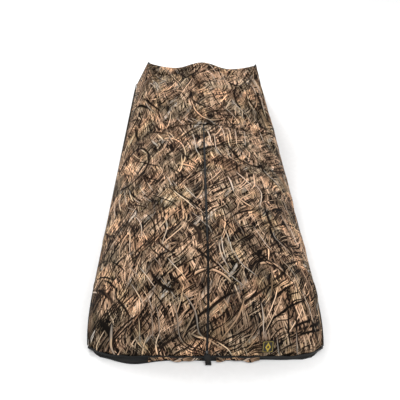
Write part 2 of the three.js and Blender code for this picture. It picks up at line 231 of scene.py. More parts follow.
STRAW = [(0.0, (0.10, 0.058, 0.024)), (0.45, (0.32, 0.22, 0.11)), (1.0, (0.72, 0.56, 0.38))]
TAN = [(0.0, (0.050, 0.025, 0.012)), (0.5, (0.19, 0.115, 0.062)), (1.0, (0.46, 0.32, 0.20))]
RUST = [(0.0, (0.035, 0.014, 0.007)), (0.5, (0.15, 0.070, 0.034)), (1.0, (0.34, 0.18, 0.095))]
GREY = [(0.0, (0.045, 0.038, 0.033)), (0.5, (0.17, 0.15, 0.13)), (1.0, (0.46, 0.42, 0.38))]
OLIVE = [(0.0, (0.060, 0.045, 0.010)), (0.5, (0.24, 0.175, 0.055)), (1.0, (0.50, 0.38, 0.15))]
DARK = [(0.0, (0.004, 0.003, 0.002)), (0.6, (0.016, 0.010, 0.006)), (1.0, (0.055, 0.033, 0.019))]
BARK = [(0.0, (0.13, 0.12, 0.11)), (0.5, (0.34, 0.32, 0.29)), (1.0, (0.62, 0.59, 0.55))]
SHADOW = (0.006, 0.004, 0.003, 1)
PRINT_SCALE = 1.2

# one line for each layer of blades, from the lowest: turn, cell length and width in metres, how much
# of its cell a blade fills, how many cells stay empty, colours, and how far it bends
BLADES = [
    (8, 0.110, 0.018, 0.60, 0.10, DARK, 0.05),
    (-35, 0.100, 0.012, 0.52, 0.30, TAN, 0.06),
    (62, 0.120, 0.011, 0.50, 0.40, RUST, 0.07),
    (15, 0.120, 0.020, 0.42, 0.62, GREY, 0.05),
    (-50, 0.110, 0.010, 0.46, 0.40, DARK, 0.07),
    (-22, 0.130, 0.011, 0.45, 0.50, OLIVE, 0.07),
    (33, 0.090, 0.008, 0.50, 0.45, TAN, 0.06),
    (9, 0.080, 0.009, 0.48, 0.45, DARK, 0.05),
    (-20, 0.120, 0.007, 0.48, 0.50, STRAW, 0.06),
    (28, 0.120, 0.029, 0.40, 0.84, BARK, 0.04),
    (48, 0.110, 0.0065, 0.42, 0.60, STRAW, 0.08),
    (-14, 0.090, 0.0055, 0.46, 0.52, STRAW, 0.05),
    (40, 0.110, 0.007, 0.42, 0.62, DARK, 0.08),
]

# long stems that wind over the blades, written in the same way
STEMS = [
    (52, 0.42, 0.017, 0.24, 0.70, DARK, 0.17),
    (20, 0.34, 0.012, 0.26, 0.80, STRAW, 0.17),
    (-38, 0.42, 0.018, 0.22, 0.74, DARK, 0.18),
    (-28, 0.34, 0.012, 0.24, 0.80, BARK, 0.18),
]


def blade_layer(g, under, place, wander, number, layer):
    """Lays one layer of long blades over the colours under it, each with its own tone and shadow."""
    turn, length, width, fill, empty, colours, bend = layer
    bent = g.vector("ADD", place, g.scaled(wander, bend))
    shift = (0.37 * number, 0.23 * number + 0.1, 0)
    stretched = g.mapping(bent, shift, turn, (1 / width, 1 / length, 1))
    cell = g.cells(stretched)
    across, _, _ = g.parts(g.vector("SUBTRACT", stretched, cell.outputs["Position"]))
    chance, tone, _ = g.channels(cell.outputs["Color"])
    there = g.step(chance, empty, empty + 0.02)
    distance = cell.outputs["Distance"]
    blade = g.math("MULTIPLY", g.step(distance, fill - 0.07, fill, 1.0, 0.0), there)
    shadow = g.math("MULTIPLY", g.step(distance, fill - 0.05, fill + 0.20, 0.60, 0.0), there)
    fibre = g.noise(g.mapping(stretched, scale=(3.2, 0.5, 1)), 1.0, 3.0, 0.65).outputs["Fac"]
    shade = g.math("ADD", g.math("MULTIPLY", across, 0.55), g.math("MULTIPLY", fibre, 0.8))
    level = g.math("ADD", g.math("MULTIPLY", tone, 0.65), g.math("SUBTRACT", shade, 0.25), clamp=True)
    colour = g.ramp(level, colours)
    shaded = g.mix(shadow, under, SHADOW)
    return g.mix(blade, shaded, colour)


def arc_layer(g, under, place, size, radius, width, colours, seed):
    """Lays bent reeds: parts of rings round the points of a cell pattern."""
    shifted = g.mapping(place, (seed, 0.7 * seed, 0), 40 * seed, (1.0, 0.8, 1))
    cell = g.cells(shifted, scale=1 / size)
    chance, tone, _ = g.channels(cell.outputs["Color"])
    reach = g.math("ADD", cell.outputs["Distance"], g.math("MULTIPLY", chance, -0.14))
    off = g.math("ABSOLUTE", g.math("SUBTRACT", reach, radius))
    breaks = g.noise(shifted, 1.3 / size, 1.0).outputs["Fac"]
    there = g.math("MULTIPLY", g.step(breaks, 0.53, 0.56), g.step(chance, 0.25, 0.27))
    ring = g.math("MULTIPLY", g.step(off, width * 0.7, width, 1.0, 0.0), there)
    edge = g.math("MULTIPLY", g.step(off, width, width * 2.4, 0.85, 0.0), there)
    shaded = g.mix(edge, under, SHADOW)
    lit = g.step(g.math("SUBTRACT", reach, radius), -width, width)
    fibre = g.noise(shifted, 260, 2.0).outputs["Fac"]
    level = g.math("ADD", g.math("MULTIPLY", tone, 0.5), g.math("MULTIPLY", lit, 0.35))
    colour = g.ramp(g.math("ADD", level, g.math("MULTIPLY", fibre, 0.2)), colours)
    return g.mix(ring, shaded, colour)


def cloth_bumps(g, place, weave=900.0, strength=0.25):
    """The ribs of a plain weave, over soft creases."""
    x, y, _ = g.parts(place)
    warp = g.math("SINE", g.math("MULTIPLY", x, weave * 2 * math.pi))
    weft = g.math("SINE", g.math("MULTIPLY", y, weave * 2 * math.pi))
    ribs = g.math("MULTIPLY", warp, weft)
    creases = g.noise(place, 22.0, 4.0, 0.55, 0.4).outputs["Fac"]
    soft = g.bump(creases, 0.5, 0.006)
    return g.bump(ribs, strength, 0.0002, soft)


def stitches(g, under, thread, inset=0.009):
    """Two rows of lockstitch beside each cut edge, from the edge map, with painted shade darkening the dent
    that the stitching pulls into the cloth.
    """
    away, along, _ = g.parts(g.uv("edge"))
    row = g.math("ABSOLUTE", g.math("SUBTRACT", away, inset))
    line = g.step(row, 0.0005, 0.0010, 1.0, 0.0)
    dash = g.math("SINE", g.math("MULTIPLY", along, 2 * math.pi / 0.0036))
    stitch = g.math("MULTIPLY", line, g.step(dash, -0.35, -0.05))
    dent = g.step(row, 0.0, 0.0035, 1.0, 0.0)
    # painted shade: the colour is darkened towards near-black inside the stitch dent, where the groove would
    # be in shade
    dent_painted_shade = g.mix(g.math("MULTIPLY", dent, 0.45), under, (0.02, 0.014, 0.01, 1))
    return g.mix(stitch, dent_painted_shade, thread), dent


def camo_material():
    """Printed dry-reed camouflage: layer over layer of bent blades, stems and bent reeds."""
    g = Graph("reed_camo")
    place = g.scaled(g.uv("print"), PRINT_SCALE)
    wander = g.drift(place, 5.5, 1.0)
    roam = g.drift(place, 3.1, 0.0)
    zones = g.noise(place, 6.5, 2.0, 0.55).outputs["Color"]
    mood, warmth, gold = g.channels(zones)
    colour = g.ramp(g.noise(place, 75.0, 4.0, 0.7, 0.6).outputs["Fac"], [
        (0.30, (0.008, 0.005, 0.003)), (0.5, (0.045, 0.027, 0.016)), (0.72, (0.16, 0.105, 0.065))])
    for number, layer in enumerate(BLADES):
        colour = blade_layer(g, colour, place, wander, number + 1, layer)
    shade = g.step(mood, 0.47, 0.60, 0.0, 0.62)
    colour = g.mix(shade, colour, g.mix(0.82, colour, SHADOW))
    colour = arc_layer(g, colour, place, 0.27, 0.36, 0.017, STRAW, 4.3)
    for number, layer in enumerate(STEMS):
        colour = blade_layer(g, colour, place, roam, number + 31, layer)
    colour = arc_layer(g, colour, place, 0.33, 0.33, 0.012, DARK, 8.8)
    tint = g.ramp(warmth, [(0.39, (0.84, 0.92, 0.98)), (0.5, (1.06, 1.0, 0.96)), (0.61, (1.14, 0.99, 0.86))])
    colour = g.mix(1.0, colour, tint, "MULTIPLY")
    golden = g.mix(1.0, colour, (1.38, 1.22, 0.82, 1), "MULTIPLY")
    colour = g.mix(g.step(gold, 0.53, 0.63), colour, golden)
    deep = g.add("ShaderNodeGamma")
    g.put(colour, deep.inputs[0])
    deep.inputs[1].default_value = 1.22
    muted = g.add("ShaderNodeHueSaturation")
    g.put(deep.outputs[0], muted.inputs["Color"])
    muted.inputs["Saturation"].default_value = 0.60
    colour = g.mix(1.0, muted.outputs[0], (1.53, 1.31, 1.13, 1), "MULTIPLY")
    sewn, dent = stitches(g, colour, (0.05, 0.036, 0.022, 1))
    normal = cloth_bumps(g, place)
    normal = g.bump(g.math("SUBTRACT", 1.0, dent), 0.6, 0.0012, normal)
    dust = g.noise(place, 3.0, 3.0, 0.6).outputs["Fac"]
    roughness = g.step(dust, 0.3, 0.7, 0.78, 0.92)
    return g.finish(sewn, roughness, normal, Specular_IOR_Level=0.06)


def woven_material(name, dark, light, weave=700.0, roughness=(0.7, 0.9), sheen=0.1, map_name="print"):
    """Plain dyed cloth with a weave, soft creases and lint."""
    g = Graph(name)
    place = g.uv(map_name)
    blotch = g.noise(place, 9.0, 4.0, 0.6).outputs["Fac"]
    fleck = g.noise(place, 420.0, 2.0, 0.6).outputs["Fac"]
    level = g.math("ADD", g.math("MULTIPLY", blotch, 0.7), g.math("MULTIPLY", fleck, 0.4))
    colour = g.ramp(level, [(0.35, dark), (0.8, light)])
    sewn, dent = stitches(g, colour, (*light, 1))
    normal = g.bump(g.math("SUBTRACT", 1.0, dent), 0.5, 0.001, cloth_bumps(g, place, weave, 0.4))
    rough = g.step(blotch, 0.3, 0.7, *roughness)
    return g.finish(sewn, rough, normal, Sheen_Weight=sheen, Specular_IOR_Level=0.3)


def solid_material(name, dark, light, roughness, metallic=0.0, grain=300.0, worn=None, bump=0.15):
    """Painted, moulded or bare hard finish with grain, smudges and wear on its edges."""
    g = Graph(name)
    place = g.add("ShaderNodeTexCoord").outputs["Object"]
    blotch = g.noise(place, 14.0, 4.0, 0.6, flat=False).outputs["Fac"]
    fine = g.noise(place, grain, 3.0, 0.6, flat=False).outputs["Fac"]
    level = g.math("ADD", g.math("MULTIPLY", blotch, 0.6), g.math("MULTIPLY", fine, 0.4))
    colour = g.ramp(level, [(0.35, dark), (0.7, light)])
    if worn:
        edge = g.add("ShaderNodeNewGeometry").outputs["Pointiness"]
        scuffed = g.math("MULTIPLY", g.step(edge, 0.52, 0.60), g.step(fine, 0.35, 0.6))
        colour = g.mix(scuffed, colour, (*worn, 1))
    rough = g.step(blotch, 0.25, 0.75, *roughness)
    return g.finish(colour, rough, g.bump(fine, bump, 0.0006), metallic)


# ---------------------------------------------------------------- meshes
def linked(name, mesh):
    obj = bpy.data.objects.new(name, mesh)
    scene.collection.objects.link(obj)
    return obj


def grid_normals(grid):
    du = np.gradient(grid, axis=0)
    dv = np.gradient(grid, axis=1)
    n = np.cross(du, dv)
    return n / np.maximum(np.linalg.norm(n, axis=2, keepdims=True), 1e-12)


def running(grid, axis):
    steps = np.linalg.norm(np.diff(grid, axis=axis), axis=2)
    total = np.cumsum(steps, axis=axis)
    pad = [(1, 0), (0, 0)] if axis == 0 else [(0, 0), (1, 0)]
    return np.pad(total, pad)


def cloth(name, grid, out, material, slot, thick=CLOTH, origin=(0, 0), uv=None, back=None):
    """A sheet of cloth over a grid of points, turned so that its outer side faces out."""
    grid = np.array(grid, float)
    middle = grid_normals(grid)[grid.shape[0] // 2, grid.shape[1] // 2]
    if middle @ np.array(out, float) < 0:
        grid = grid[::-1].copy()
        uv = uv[::-1] if uv is not None else None
    m, n = grid.shape[:2]
    u, v = running(grid, 0), running(grid, 1)
    to_edge = np.minimum(np.minimum(u, u[-1:] - u), np.minimum(v, v[:, -1:] - v))
    beside = np.minimum(u, u[-1:] - u) < np.minimum(v, v[:, -1:] - v)
    edge_uv = np.stack([to_edge, np.where(beside, v, u)], axis=2)
    print_uv = np.array(uv) if uv is not None else np.stack([u, v], axis=2) + np.array(origin)
    i, j = np.meshgrid(np.arange(m - 1), np.arange(n - 1), indexing="ij")
    a = (i * n + j).ravel()
    faces = np.stack([a, a + n, a + n + 1, a + 1], axis=1)
    mesh = bpy.data.meshes.new(name)
    mesh.from_pydata(grid.reshape(-1, 3).tolist(), [], faces.tolist())
    for map_name, values in (("print", print_uv), ("edge", edge_uv)):
        layer = mesh.uv_layers.new(name=map_name)
        flat = values.reshape(-1, 2)[faces.ravel()]
        layer.data.foreach_set("uv", flat.astype(np.float32).ravel())
    mesh.polygons.foreach_set("use_smooth", [True] * len(mesh.polygons))
    mesh.materials.append(material)
    obj = linked(name, mesh)
    solid = obj.modifiers.new("thickness", "SOLIDIFY")
    solid.thickness = thick
    solid.offset = -1
    if back is not None:
        mesh.materials.append(back)
        solid.material_offset = 1
    return obj


def camo_cloth(name, grid, out, m, **options):
    """Printed cloth with its plain coated back."""
    return cloth(name, grid, out, m["camo"], "camo_fabric", back=m["backing"], **options)


def rumple(grid, amount, size, seed, margin=None, stretch=(1, 1, 1)):
    """Moves a grid along its normals by a smooth seeded noise, and less within a margin of its edges."""
    grid = np.array(grid, float)
    normals = grid_normals(grid)
    push = np.zeros(grid.shape[:2])
    for i in range(grid.shape[0]):
        for j in range(grid.shape[1]):
            p = Vector(grid[i, j] * np.array(stretch) / size) + Vector((seed * 3.1, seed * 1.7, seed))
            push[i, j] = noise.fractal(p, 0.7, 2.1, 3)
    if margin is not None:
        push = push * edge_pin(push.shape, margin)
    return grid + normals * (push * amount)[..., None]


def edge_pin(shape, margin):
    """1 in the middle of a grid, falling to 0 at its borders."""
    i = np.linspace(0, 1, shape[0])[:, None]
    j = np.linspace(0, 1, shape[1])[None, :]
    near = np.minimum(np.minimum(i, 1 - i), np.minimum(j, 1 - j))
    t = np.clip(near / margin, 0, 1)
    return t * t * (3 - 2 * t)


def tangents(pts):
    last = len(pts) - 1
    return [(pts[min(k + 1, last)] - pts[max(k - 1, 0)]).normalized() for k in range(len(pts))]


def sweep(name, verts, n, material, closed_ends=True):
    """Joins rings of n points each into a smooth skin, with flat ends."""
    rings = len(verts) // n
    faces = [(k * n + r, k * n + (r + 1) % n, (k + 1) * n + (r + 1) % n, (k + 1) * n + r)
             for k in range(rings - 1) for r in range(n)]
    if closed_ends:
        faces.append(tuple(reversed(range(n))))
        faces.append(tuple(range((rings - 1) * n, rings * n)))
    mesh = bpy.data.meshes.new(name)
    mesh.from_pydata([tuple(v) for v in verts], [], faces)
    mesh.polygons.foreach_set("use_smooth", [len(f) == 4 for f in faces])
    mesh.materials.append(material)
    obj = linked(name, mesh)
    return obj


def tube(name, points, radius, material, sides=20, closed_ends=True):
    """A smooth round tube along a line of points, with capped ends."""
    pts = [Vector(p) for p in points]
    verts = []
    along = tangents(pts)
    side = along[0].orthogonal().normalized()
    for p, t in zip(pts, along):
        side = (side - t * side.dot(t)).normalized()
        other = t.cross(side)
        for s in range(sides):
            a = 2 * math.pi * s / sides
            verts.append(p + (side * math.cos(a) + other * math.sin(a)) * radius)
    return sweep(name, verts, sides, material, closed_ends)


def rounded_path(corners, radius, steps=8):
    """Straight runs between corner points, with each inner corner rounded."""
    pts = [Vector(c) for c in corners]
    path = [pts[0]]
    for before, c, after in zip(pts, pts[1:], pts[2:]):
        p = c + (before - c).normalized() * radius
        q = c + (after - c).normalized() * radius
        for k in range(steps + 1):
            t = k / steps
            path.append(p * (1 - t) ** 2 + c * 2 * t * (1 - t) + q * t * t)
    path.append(pts[-1])
    return path


def spline(points, steps=6):
    """A smooth line through the points."""
    pts = [Vector(p) for p in points]
    ext = [pts[0] * 2 - pts[1], *pts, pts[-1] * 2 - pts[-2]]
    path = []
    for k in range(1, len(ext) - 2):
        a, b, c, d = ext[k - 1:k + 3]
        for s in range(steps):
            t = s / steps
            path.append(0.5 * (2 * b + (c - a) * t + (2 * a - 5 * b + 4 * c - d) * t * t
                               + (3 * b - a - 3 * c + d) * t ** 3))
    path.append(pts[-1])
    return path


# ---------------------------------------------------------------- the arched cloth
def crown(y):
    return CROWN_HIP + (CROWN_HIP - CROWN_FOOT) * y / -HOOP_Y


def arch(x, top):
    return ARCH_BASE + (top - ARCH_BASE) * max(0.0, 1 - (x / ARCH_HALF) ** 2) ** ARCH_POWER


def arch_at(turn, top):
    """A point of the arched section, by its angle from the crown."""
    return ARCH_HALF * math.sin(turn), ARCH_BASE + (top - ARCH_BASE) * math.cos(turn) ** (2 * ARCH_POWER)


def toe_reach(x):
    return TOE_R - TOE_CORNER * (abs(x) / ARCH_HALF) ** 8


def toe_taper(y):
    """The toe narrows a little towards its hem."""
    return 1 - TOE_TAPER * max(0.0, (HOOP_Y - y) / TOE_R) ** 3


def toe_at(turn, down):
    """A point of the round toe: turn from the crown line, down from the hoop to the ground."""
    x, top = arch_at(turn, CROWN_FOOT)
    y = HOOP_Y - toe_reach(x) * math.sin(down)
    return x * toe_taper(y), y, TOE_Z + (top - TOE_Z) * math.cos(down)


def top_edge(u):
    """The M-shaped upper edge: up to both tips and over the headrest."""
    out = abs(u)
    if out > 0.5:
        return EDGE_SAG + (EDGE_PEAK - EDGE_SAG) * ((out - 0.5) / 0.5) ** 2
    return EDGE_SAG + (EDGE_CROWN - EDGE_SAG) * (0.5 + 0.5 * math.cos(2 * math.pi * out))


def fit(piece, node, body, plane=None):
    """Stands for a CAD node and moves with its body."""
    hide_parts(node)
    if plane:
        settle(piece, body)
    else:
        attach(piece, body)


def settle(piece, body):
    """Rides on a body, with a mesh of its own."""
    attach(piece, body)
    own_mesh(piece)


def smooth_step(t):
    t = np.clip(t, 0, 1)
    return t * t * (3 - 2 * t)


def between(a, b, count):
    return np.linspace(a, b, count)


def door_point(s, turn, y):
    x, z = arch_at(turn, crown(y))
    return s * x, y, z


def door_creases(grid, s):
    """Shallow valleys that run across a door, from the rail to the seam."""
    away = np.abs(grid[..., 0])
    depth = 0 * away
    if s < 0:
        places = ((-0.16, 0.22), (-0.33, -0.15), (-0.54, 0.20))
    else:
        places = ((-0.24, -0.20), (-0.46, 0.12), (-0.65, -0.1))
    for y, slope in places:
        off = grid[..., 1] - y - slope * (away - 0.2) - 0.006 * np.sin(away * 40)
        depth = depth + 0.0050 * np.exp(-(off / 0.017) ** 2) - 0.0030 * np.exp(-((off - 0.035) / 0.017) ** 2)
    return depth * smooth_step((away - 0.04) / 0.12) * smooth_step((0.41 - away) / 0.12)


def make_doors(m):
    seam_turn = math.asin(SEAM_HALF / ARCH_HALF)
    turns = np.linspace(math.radians(89.0), seam_turn, 60)
    ys = between(HOOP_Y - 0.008, -0.001, 84)
    for side, s, body in (("left", -1, "left_door"), ("right", 1, "right_door")):
        # the lower edge is cut away beside the frame hinge, so the door clears it when it opens
        notch = [smooth_step((y + 0.080) / 0.02) for y in ys]
        grid = [[(s * (ARCH_HALF - 0.0006 - 0.0026 * n), y, 0.053 + 0.0140 * n) for y, n in zip(ys, notch)]]
        grid += [[door_point(s, t - math.radians(5.7) * n * (t - seam_turn), y) for y, n in zip(ys, notch)]
                 for t in turns]
        grid = np.array(grid)
        # the cloth sags a little between the spring bows and is drawn in beside the seam
        bow_near = np.minimum(np.abs(grid[..., 1] + 0.705), np.abs(grid[..., 1] + 0.074))
        sag = 0.007 * smooth_step(bow_near / 0.25) * smooth_step((grid[..., 2] - 0.08) / 0.15)
        away = np.abs(grid[..., 0])
        pucker = 0.0022 * np.sin(grid[..., 1] * 2 * math.pi / 0.052 + 3 * np.sin(9 * grid[..., 1]))
        pucker *= np.exp(-((away - 0.016) / 0.02) ** 2)
        dip = 0.0035 * np.exp(-(away / 0.007) ** 2)
        grid[..., 2] -= sag + dip - pucker + door_creases(grid, s)
        grid = rumple(grid, 0.0050, 0.15, 2 + s, 0.07, (1, 0.7, 1))
        across = running(grid, 0)
        uv = np.stack([s * (across[-1:] - across), grid[..., 1]], axis=2)
        door = camo_cloth(f"door_cloth_{side}", grid, (0.3 * s, 0, 1), m, uv=uv)
        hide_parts(f"door_panel_{side}")
        settle(door, body)
        edge = [(s * 0.0021, y, crown(y) - 0.0050) for y in between(HOOP_Y - 0.004, -0.004, 60)]
        piping = tube(f"door_edge_piping_{side}", edge, 0.0020, m["black"], 10)
        fit(piping, f"door_piping_{side}", body, "foot")
        rod_line = [(s * DOOR_AXIS[0], y, DOOR_AXIS[1]) for y in (-0.712, -0.066)]
        rod = tube(f"door_pivot_rod_{side}", rod_line, ROD_R, m["steel"], 18)
        fit(rod, f"door_rod_{side}", body)
        for place, y in BOW_PLACES:
            path = [(s * (DOOR_AXIS[0] - 0.005), y, DOOR_AXIS[1] + 0.009)]
            for x in (0.404, 0.372, 0.318, 0.235, 0.128, 0.018):
                path.append((s * x, y, arch(x, crown(y)) - 0.017 - 0.02 * (x / ARCH_HALF) ** 6))
            bow = tube(f"door_spring_bow_{place}_{side}", spline(path), ROD_R, m["steel"], 16)
            fit(bow, f"door_bow_{place}_{side}", body, "foot")


def toe_sheet_point(s, turn, down):
    x, y, z = toe_at(turn, max(down, 0))
    if down < 0:
        # the upper edge is tucked under the doors
        y, z = HOOP_Y - down * 0.3, z - 0.004
    return s * x, y, z


def make_toe(m):
    downs = [-0.08, -0.04, *np.radians(np.linspace(0, 89.2, 52))]
    for side, s in SIDES:
        turns = np.linspace(math.radians(89.4), math.asin(0.0044 / ARCH_HALF), 66)
        grid = np.array([[toe_sheet_point(s, t, d) for d in downs] for t in turns])
        hem = grid[:, -1:].copy()
        hem[..., 2] = 0.006
        grid = np.concatenate([grid, hem], axis=1)
        lap = grid[:1].copy()
        lap[..., 2] = np.maximum(lap[..., 2] - 0.012, 0.005)
        grid = np.concatenate([lap, grid], axis=0)
        away = np.abs(grid[..., 0])
        down = running(grid, 1)
        pucker = 0.002 * np.sin(down * 2 * math.pi / 0.045) * np.exp(-((away - 0.018) / 0.02) ** 2)
        gathers = 0.0028 * np.sin(away * 2 * math.pi / 0.055 + 4 * np.sin(7 * away))
        gathers = gathers * smooth_step((0.10 - grid[..., 2]) / 0.08)
        grid = grid + np.stack([0 * away, -gathers, pucker], axis=2)
        grid = rumple(grid, 0.0065, 0.12, 5 + s, 0.12, (1, 1, 0.7))
        across = running(grid, 0)
        uv = np.stack([s * (across[-1:] - across), HOOP_Y - running(grid, 1)], axis=2)
        bag = camo_cloth(f"toe_cloth_{side}", grid, (0.2 * s, -1, 1), m, uv=uv)
        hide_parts(f"foot_bag_{side}")
        settle(bag, "foot_half")


def zip_point(down, out=0.0):
    r = TOE_R + out
    return Vector((0, HOOP_Y - r * math.sin(down), TOE_Z + r * math.cos(down)))


def make_zip(m):
    downs = np.radians(np.linspace(-3, 88.5, 80))
    rows = []
    for x in between(-0.0098, 0.0098, 7):
        rows.append([(x, *zip_point(d, -0.0030)[1:]) for d in downs])
    tape = cloth("foot_zip_tape", rows, (0, -1, 1), m["black"], "black_fabric", 0.0012)
    fit(tape, "foot_zip", "foot_half", "zip")
    bm = bmesh.new()
    step = 0.0030 / TOE_R
    count = int(math.radians(88) / step)
    for k in range(count):
        down = k * step
        middle = zip_point(down, -0.0018)
        turn = Matrix.Rotation(down, 4, "X")
        side = 1 if k % 2 else -1
        place = Matrix.Translation(middle + Vector((side * 0.0011, 0, 0))) @ turn
        tooth = place @ Matrix.Diagonal((0.0040, 0.0017, 0.0020, 1))
        made = bmesh.ops.create_cube(bm, size=1.0, matrix=tooth)
        edges = {e for v in made["verts"] for e in v.link_edges}
        bmesh.ops.bevel(bm, geom=list(edges), offset=0.0004, segments=1, affect="EDGES")
    mesh = bpy.data.meshes.new("foot_zip_teeth")
    bm.to_mesh(mesh)
    bm.free()
    mesh.materials.append(m["plastic"])
    teeth = linked("foot_zip_teeth", mesh)
    settle(teeth, "foot_half")
    make_slider(m)


def make_slider(m):
    down = math.radians(85.0)
    turn = Matrix.Translation(zip_point(down, 0.0)) @ Matrix.Rotation(down, 4, "X")
    bm = bmesh.new()
    outline = [(-0.0045, -0.011), (0.0045, -0.011), (0.0062, 0.002), (0.0056, 0.010),
               (0.002, 0.012), (-0.002, 0.012), (-0.0056, 0.010), (-0.0062, 0.002)]
    # the faces are listed one by one: an extrusion orders them differently from run to run
    n = len(outline)
    ring = [bm.verts.new((x, y, z)) for z in (0.0006, 0.0034) for x, y in outline]
    bm.faces.new(ring[n - 1::-1])
    bm.faces.new(ring[n:])
    for i in range(n):
        j = (i + 1) % n
        bm.faces.new((ring[i], ring[j], ring[n + j], ring[n + i]))
    bmesh.ops.transform(bm, matrix=turn, verts=bm.verts)
    mesh = bpy.data.meshes.new("zip_slider_body")
    bm.to_mesh(mesh)
    bm.free()
    mesh.materials.append(m["plastic"])
    body = linked("zip_slider_body", mesh)
    bevel = body.modifiers.new("bevel", "BEVEL")
    bevel.width, bevel.segments = 0.0006, 2
    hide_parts("zip_slider")
    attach(body, "zip_slider")
    bridge_line = [turn @ Vector(p) for p in
                   ((0, 0.009, 0.0030), (0, 0.007, 0.0062), (0, -0.003, 0.0066), (0, -0.008, 0.0030))]
    bridge = tube("zip_slider_bridge", spline(bridge_line), 0.0011, m["steel"], 10)
    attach(bridge, "zip_slider")
    # a folded webbing tab hangs from the slider and lies on the ground in front of the hem
    line = spline([(0.0005, -1.0385, 0.0345), (0.002, -1.0420, 0.0250), (0.004, -1.0455, 0.0150),
                   (0.0055, -1.050, 0.0085), (0.006, -1.055, 0.0064), (0.006, -1.060, 0.0060)], 5)
    rows = [[tuple(Vector(p) + Vector((w, 0, 0.0008 * math.cos(w * 250)))) for p in line]
            for w in between(-0.0105, 0.0105, 7)]
    tab = cloth("zip_pull_tab", rows, (0, -1, 1), m["black"], "black_fabric", 0.0026)
    fit(tab, "zip_pull", "zip_slider")


def strip(name, line, outs, width, thick, material, rounds=8):
    """A flat binding with rounded edges, swept along a line; outs are the directions off its face."""
    pts = [Vector(p) for p in line]
    n = 2 * rounds
    verts = []
    for p, t, out in zip(pts, tangents(pts), outs):
        out = Vector(out).normalized()
        out = (out - t * out.dot(t)).normalized()
        across = t.cross(out)
        for r in range(n):
            a = 2 * math.pi * r / n
            c, d = math.cos(a), math.sin(a)
            c = math.copysign(abs(c) ** 0.45, c)
            d = math.copysign(abs(d) ** 0.45, d)
            verts.append(p + across * c * width / 2 + out * d * thick / 2)
    obj = sweep(name, verts, n, material)
    mesh = obj.data
    lengths = np.concatenate([[0], np.cumsum([(b - a).length for a, b in zip(pts, pts[1:])])])
    for map_name in ("print", "edge"):
        layer = mesh.uv_layers.new(name=map_name)
        for face in mesh.polygons:
            for loop in face.loop_indices:
                v = mesh.loops[loop].vertex_index
                around = abs((v % n) / n - 0.5) * width
                layer.data[loop].uv = (around, lengths[v // n])
    return obj


def toe_ground(x, out=0.0):
    """The plan line of the toe's lower edge."""
    return HOOP_Y - toe_reach(x) - out


def make_hem(m):
    line, outs = [], []
    for a in np.linspace(-math.radians(88), math.radians(88), 90):
        x = ARCH_HALF * math.sin(a)
        lift = 0.011 + 0.010 * max(0.0, (abs(x) - 0.36) / 0.07) ** 2
        ripple = 0.0012 * math.sin(x * 75) + 0.0010 * math.sin(x * 31 + 1)
        y = toe_ground(x, 0.0035) + ripple
        line.append((x * 1.006 * toe_taper(y), y, lift))
        outs.append((math.sin(a) ** 7, -1, 0.15))
    hem = strip("toe_hem_binding", line, outs, 0.0125, 0.0030, m["black"])
    fit(hem, "foot_hem", "foot_half")


def skirt_grid(s, y0, y1, flare, seed, rows=10, count=70):
    ys = between(y0, y1, count)
    grid = []
    for v in between(0, 1, rows):
        row = []
        for y in ys:
            top, out = SKIRT_TOP, 1.0
            if y < HOOP_Y:
                t = min(1.0, (HOOP_Y - y) / 0.2665)
                top = max(0.014, TOE_Z + 0.0425 * math.sqrt(max(0.0, 1 - t * t)))
                out = 1 - 0.75 * t ** 6
            x = (0.4333 + flare * out * v ** 0.8) * toe_taper(y)
            row.append((s * x, y, top + (SKIRT_HEM - top) * v))
        grid.append(row)
    return rumple(np.array(grid), 0.0035, 0.10, seed, 0.1)


def make_skirts(m):
    for side, s in SIDES:
        for half, y0, y1, flare, body in (
                ("foot", -0.002, -0.9960, 0.0060, "foot_half"), ("head", 0.002, 1.036, 0.0080, "head_half")):
            grid = skirt_grid(s, y0, y1, flare, 11 + s)
            along, depth = running(grid, 1), running(grid, 0)
            uv = np.stack([along * np.sign(y1), s * (0.62 + depth)], axis=2)[..., ::-1]
            skirt = camo_cloth(f"{half}_side_skirt_{side}", grid, (s, 0, 0.3), m, uv=uv)
            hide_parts(f"{half}_skirt_{side}")
            line = [Vector(p) + Vector((0.0012 * s, 0, 0.0004)) for p in grid[0][2:]]
            piping = tube(f"{half}_skirt_piping_{side}", line, 0.0019, m["black"], 8)
            for piece in (skirt, piping):
                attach(piece, body)
                if half == "foot":
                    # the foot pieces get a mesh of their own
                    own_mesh(piece)
    xs = between(-0.4325, 0.4325, 60)
    grid = [[(x, 1.0372 + 0.009 * v, SKIRT_TOP + (SKIRT_HEM - SKIRT_TOP) * v) for x in xs]
            for v in between(0, 1, 9)]
    grid = rumple(np.array(grid), 0.0030, 0.10, 17, 0.1)
    skirt = camo_cloth("rear_skirt_cloth", grid, (0, 1, 0.2), m, origin=(2.0, 0.4))
    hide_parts("rear_skirt")
    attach(skirt, "head_half")


def floor_half_width(y, end):
    """Half the floor's width, with its outer corners rounded."""
    room = FLOOR_CORNER - (abs(end) - abs(y))
    if room <= 0:
        return FLOOR_HALF
    return FLOOR_HALF - FLOOR_CORNER + math.sqrt(max(0.0, FLOOR_CORNER ** 2 - min(room, FLOOR_CORNER) ** 2))


